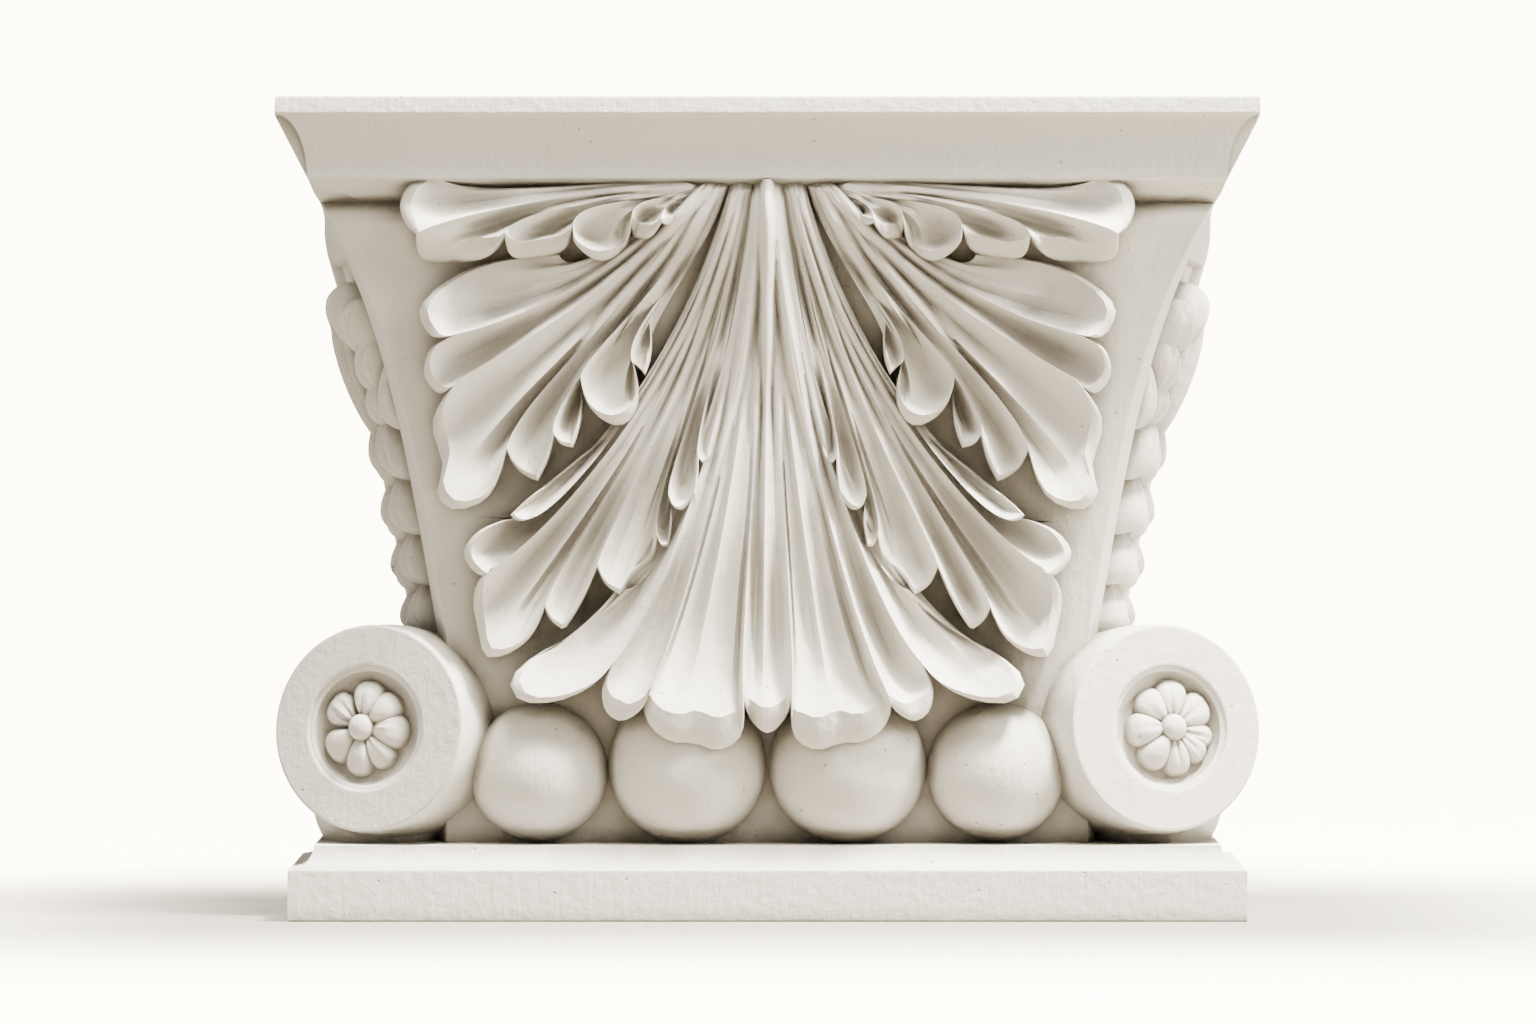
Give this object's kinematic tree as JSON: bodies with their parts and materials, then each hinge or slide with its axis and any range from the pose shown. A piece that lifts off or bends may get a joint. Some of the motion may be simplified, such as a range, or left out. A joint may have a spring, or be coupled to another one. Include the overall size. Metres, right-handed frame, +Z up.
{
  "type": "pilaster capital",
  "caption": "Shallow flat-backed capital: moulded top, flared body with fan acanthus leaves, a row of balls, corner scrolls with flowers and a foot slab.",
  "frame": {"origin": "middle of the underside of the foot slab, half way between the flat back and the front of the top moulding", "axes": "+X to the right across the carved face, carved face looks to -Y, flat back to +Y, +Z up"},
  "size_m": [0.5082, 0.165, 0.412],
  "materials": {
    "plaster": "matt off-white cast plaster with fine pinholes, faint tool marks and softened edges"
  },
  "bodies": {
    "root": {"capital": "plaster"}
  },
  "joints": []
}
